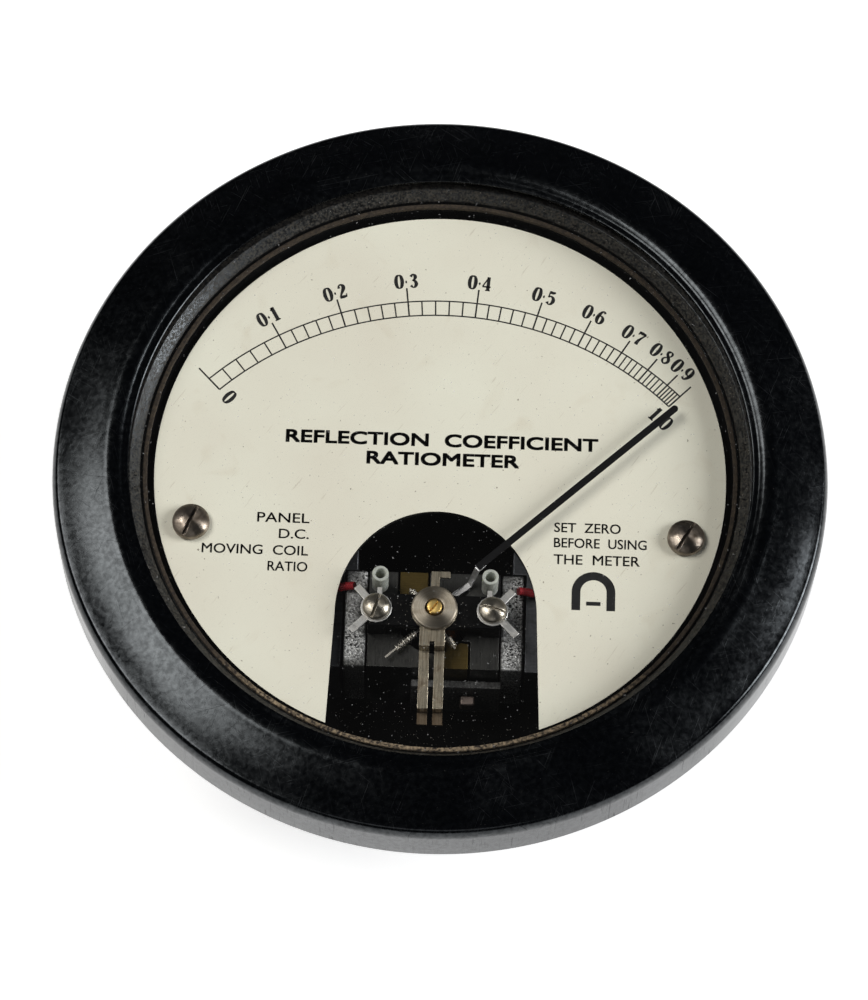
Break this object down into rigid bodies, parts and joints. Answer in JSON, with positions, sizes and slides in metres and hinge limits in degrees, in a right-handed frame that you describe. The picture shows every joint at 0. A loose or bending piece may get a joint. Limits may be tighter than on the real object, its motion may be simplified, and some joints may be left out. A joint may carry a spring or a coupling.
{
  "type": "standing wave ratio meter",
  "caption": "Round flush-panel moving-coil ratiometer with a glazed dial, arched movement window, long pointer and rear terminals.",
  "frame": {"origin": "on the axis of the round case, at the level of the three terminal tips that the meter stands on when it lies face up", "axes": "+Z out of the dial towards the viewer, +Y towards the top of the scale, +X to the right of the dial"},
  "size_m": [0.104, 0.104, 0.051],
  "materials": {
    "bakelite_black": "glossy, finely scratched",
    "window_glass": "clear",
    "brown_gasket": "aged, dull",
    "dial_cream": "satin enamel, aged",
    "black_paint": "matt",
    "bright_steel": "bright turned",
    "nickel_silver": "brushed nickel silver",
    "brass": "dull, aged",
    "soft_iron": "ground, dark",
    "cast_alnico": "as cast, speckled",
    "wound_wire": "enamelled copper wire",
    "sleeve_plastic": "translucent, milky",
    "resistor_card": "dull grey",
    "red_sleeving": "woven, waxed"
  },
  "bodies": {
    "case": {"bezel_ring": "bakelite_black", "case_body": "bakelite_black", "window_glass": "window_glass", "glass_gasket": "brown_gasket", "dial_plate": "dial_cream", "frame_plate": "black_paint", "top_bridge": "black_paint", "bottom_bridge": "black_paint", "case_screw_1": "bright_steel", "case_screw_2": "bright_steel", "case_screw_3": "bright_steel", "terminal_washer_1": "bright_steel", "terminal_washer_2": "bright_steel", "terminal_washer_3": "bright_steel", "dial_screw_left": "bright_steel", "dial_screw_right": "bright_steel", "frame_screw_1": "bright_steel", "frame_screw_2": "bright_steel", "frame_screw_3": "bright_steel", "lock_disc": "bright_steel", "bridge_screw_left": "bright_steel", "bridge_screw_right": "bright_steel", "tag_left": "nickel_silver", "tag_right": "nickel_silver", "terminal_stud_1": "brass", "terminal_stud_2": "brass", "terminal_stud_3": "brass", "terminal_nut_1": "brass", "terminal_nut_2": "brass", "terminal_nut_3": "brass", "dial_pillar_left": "brass", "dial_pillar_right": "brass", "spacer_upper": "brass", "spacer_lower": "brass", "top_jewel_screw": "brass", "bottom_jewel_screw": "brass", "card_post": "brass", "pole_left": "soft_iron", "pole_right": "soft_iron", "yoke_left": "soft_iron", "yoke_right": "soft_iron", "core": "soft_iron", "magnet_left": "cast_alnico", "magnet_right": "cast_alnico", "stop_sleeve_left": "sleeve_plastic", "stop_sleeve_right": "sleeve_plastic", "resistor_card": "resistor_card", "lead_left": "red_sleeving", "lead_right": "red_sleeving"},
    "movement": {"pivot_upper": "bright_steel", "pivot_lower": "bright_steel", "coil_inner": "wound_wire", "coil_outer": "wound_wire", "balance_cross": "brass", "tail_weight": "wound_wire", "side_weight_right": "wound_wire", "side_weight_upper": "wound_wire", "pointer_blade": "black_paint", "pointer_crank": "bright_steel"},
    "adjuster": {"zero_adjuster": "nickel_silver"}
  },
  "joints": [
    {"name": "pointer_swing", "type": "hinge", "parent": "case", "child": "movement", "pos_m": [-0.0002, -0.02, 0.0453], "axis": [0, 0, 1], "range_deg": [-4.5, 90.5]},
    {"name": "zero_adjust", "type": "hinge", "parent": "case", "child": "adjuster", "pos_m": [-0.0002, -0.02, 0.0453], "axis": [0, 0, 1], "range_deg": [-8, 8]}
  ]
}
